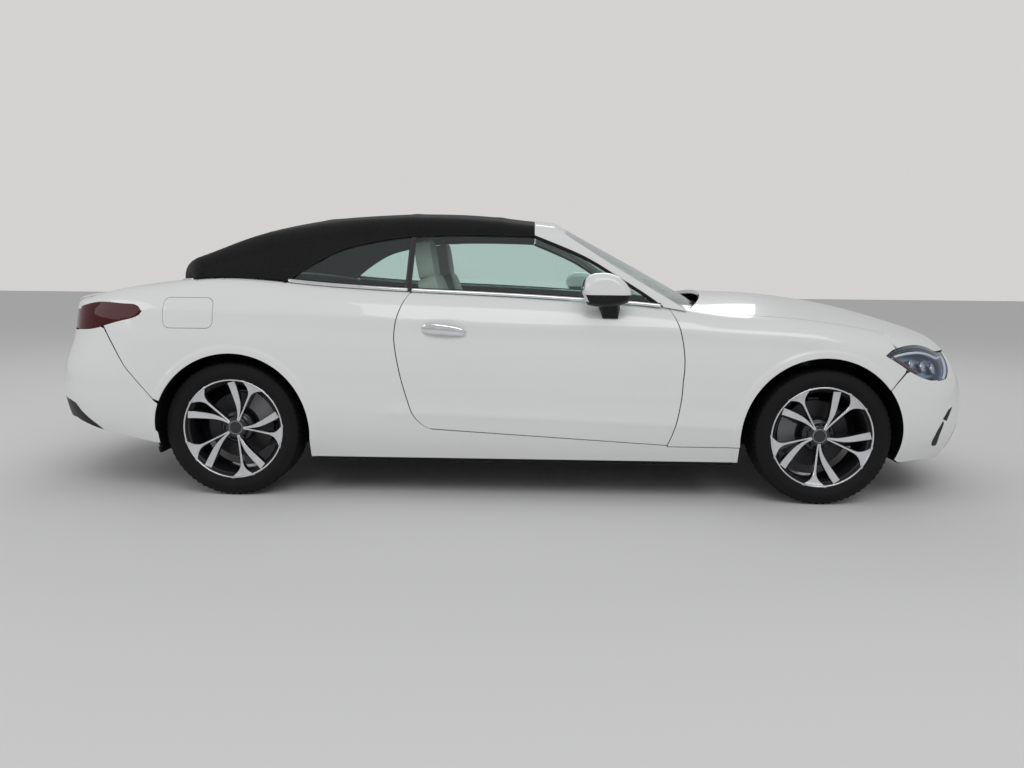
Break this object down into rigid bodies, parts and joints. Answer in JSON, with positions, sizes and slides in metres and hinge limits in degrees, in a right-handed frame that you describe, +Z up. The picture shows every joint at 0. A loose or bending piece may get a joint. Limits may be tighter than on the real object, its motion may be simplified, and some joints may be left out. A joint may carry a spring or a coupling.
{
  "type": "soft-top convertible car",
  "caption": "Convertible passenger car with its fabric roof raised, opening doors, bonnet, boot lid and fuel flap, steered front wheels and an open cabin.",
  "frame": {"origin": "on the ground, under the middle of the overall length, on the car's centre plane", "axes": "+X forward, +Y to the car's left, +Z up"},
  "size_m": [4.8579, 2.042, 1.425],
  "materials": {
    "body_paint": "gloss",
    "dark_steel": "satin",
    "black_plastic": "matte",
    "gloss_black": "gloss",
    "clear_glass": "gloss",
    "lamp_clear": "gloss",
    "lamp_red": "gloss",
    "roof_fabric": "matte",
    "trim_leather": "satin",
    "soft_trim": "satin",
    "tyre": "matte",
    "alloy": "machined",
    "cast": "cast",
    "disc_steel": "turned",
    "engine_block": "cast",
    "exhaust_steel": "satin"
  },
  "bodies": {
    "body": {"floor_pan": "dark_steel", "front_structure": "dark_steel", "rear_structure": "dark_steel", "side_panel_right": "body_paint", "side_panel_left": "body_paint", "front_wing_right": "body_paint", "front_wing_left": "body_paint", "front_bumper": "body_paint", "rear_bumper": "body_paint", "grille": "gloss_black", "headlamps": "lamp_clear", "tail_lamps": "lamp_red", "windscreen_frame": "body_paint", "windscreen": "clear_glass", "soft_top": "roof_fabric", "rear_glazing": "clear_glass", "tonneau_cover": "body_paint", "dashboard": "soft_trim", "front_seats": "trim_leather", "rear_seat": "trim_leather", "wipers": "black_plastic", "engine": "engine_block", "exhaust": "exhaust_steel", "front_subframe": "cast", "rear_subframe": "cast"},
    "door_right": {"door_right": "body_paint", "door_glass_right": "clear_glass", "mirror_right": "body_paint"},
    "door_left": {"door_left": "body_paint", "door_glass_left": "clear_glass", "mirror_left": "body_paint"},
    "bonnet": {"bonnet": "body_paint"},
    "boot_lid": {"boot_lid": "body_paint"},
    "fuel_flap": {"fuel_flap": "body_paint"},
    "steering_wheel": {"steering_wheel": "trim_leather"},
    "knuckle_right": {"front_knuckle_right": "cast"},
    "knuckle_left": {"front_knuckle_left": "cast"},
    "wheel_front_right": {"tyre_front_right": "tyre", "rim_front_right": "alloy", "brake_disc_front_right": "disc_steel"},
    "wheel_front_left": {"tyre_front_left": "tyre", "rim_front_left": "alloy", "brake_disc_front_left": "disc_steel"},
    "wheel_rear_right": {"tyre_rear_right": "tyre", "rim_rear_right": "alloy", "brake_disc_rear_right": "disc_steel"},
    "wheel_rear_left": {"tyre_rear_left": "tyre", "rim_rear_left": "alloy", "brake_disc_rear_left": "disc_steel"}
  },
  "joints": [
    {"name": "door_right_hinge", "type": "hinge", "parent": "body", "child": "door_right", "pos_m": [0.748, -0.893, 0.6], "axis": [0, 0, 1], "range_deg": [0, 65]},
    {"name": "door_left_hinge", "type": "hinge", "parent": "body", "child": "door_left", "pos_m": [0.748, 0.893, 0.6], "axis": [0, 0, -1], "range_deg": [0, 65]},
    {"name": "bonnet_hinge", "type": "hinge", "parent": "body", "child": "bonnet", "pos_m": [0.76, 0, 0.945], "axis": [0, -1, 0], "range_deg": [0, 55]},
    {"name": "boot_lid_hinge", "type": "hinge", "parent": "body", "child": "boot_lid", "pos_m": [-1.56, 0, 1.087], "axis": [0, 1, 0], "range_deg": [0, 75]},
    {"name": "fuel_flap_hinge", "type": "hinge", "parent": "body", "child": "fuel_flap", "pos_m": [-1.4415, -0.8713, 0.9], "axis": [0, 0.2349, 0.972], "range_deg": [0, 80]},
    {"name": "steer_right", "type": "hinge", "parent": "body", "child": "knuckle_right", "pos_m": [1.522, -0.725, 0.332], "axis": [0, 0, 1], "range_deg": [-34, 34]},
    {"name": "steer_left", "type": "hinge", "parent": "body", "child": "knuckle_left", "pos_m": [1.522, 0.725, 0.332], "axis": [0, 0, 1], "range_deg": [-34, 34]},
    {"name": "steering_wheel_turn", "type": "hinge", "parent": "body", "child": "steering_wheel", "pos_m": [0.432, 0.4, 0.842], "axis": [-0.9135, 0, 0.4067], "range_deg": [-480, 480]},
    {"name": "wheel_front_right_spin", "type": "hinge", "parent": "knuckle_right", "child": "wheel_front_right", "pos_m": [1.522, -0.797, 0.332], "axis": [0, 1, 0], "continuous": true},
    {"name": "wheel_front_left_spin", "type": "hinge", "parent": "knuckle_left", "child": "wheel_front_left", "pos_m": [1.522, 0.797, 0.332], "axis": [0, 1, 0], "continuous": true},
    {"name": "wheel_rear_right_spin", "type": "hinge", "parent": "body", "child": "wheel_rear_right", "pos_m": [-1.343, -0.797, 0.332], "axis": [0, 1, 0], "continuous": true},
    {"name": "wheel_rear_left_spin", "type": "hinge", "parent": "body", "child": "wheel_rear_left", "pos_m": [-1.343, 0.797, 0.332], "axis": [0, 1, 0], "continuous": true}
  ],
  "couplings": [
    {"joint": "steer_left", "follows": "steer_right", "ratio": 1},
    {"joint": "steering_wheel_turn", "follows": "steer_right", "ratio": 14}
  ]
}
